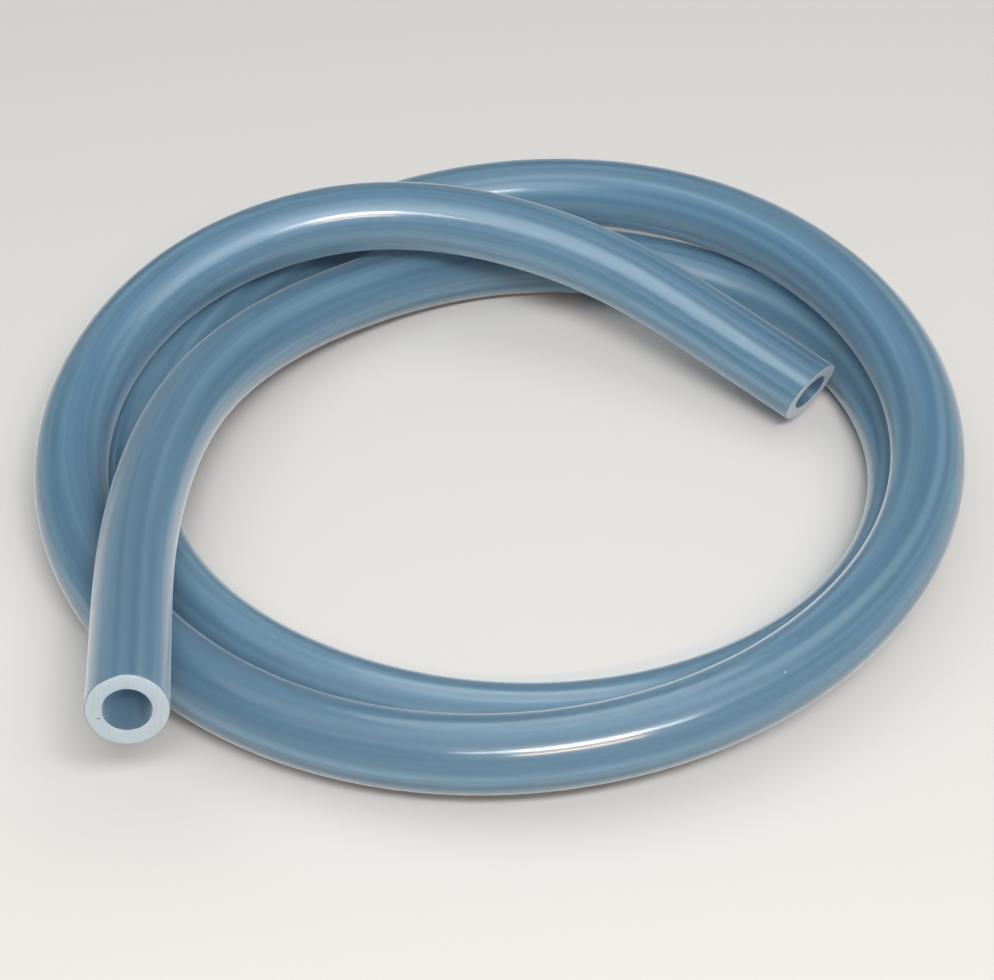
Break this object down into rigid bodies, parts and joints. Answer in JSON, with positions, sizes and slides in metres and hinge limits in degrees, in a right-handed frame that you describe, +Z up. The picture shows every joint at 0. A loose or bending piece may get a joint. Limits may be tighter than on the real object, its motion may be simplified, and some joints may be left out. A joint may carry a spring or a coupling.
{
  "type": "silicone tubing coil",
  "caption": "Length of thick-walled milky silicone tubing with an open round bore, lying in loose overlapping turns with both cut ends free.",
  "frame": {"origin": "centre of the coil's outline, on the surface that it lies on", "axes": "+Z up; +X to the right and +Y away from the viewer, with the raised cut end at the front left and the other end at the back right"},
  "size_m": [0.1514, 0.1542, 0.0351],
  "materials": {
    "silicone": "milky translucent, smooth and softly glossy, with square-cut matt ends"
  },
  "bodies": {
    "root": {"silicone_tube": "silicone"}
  },
  "joints": []
}
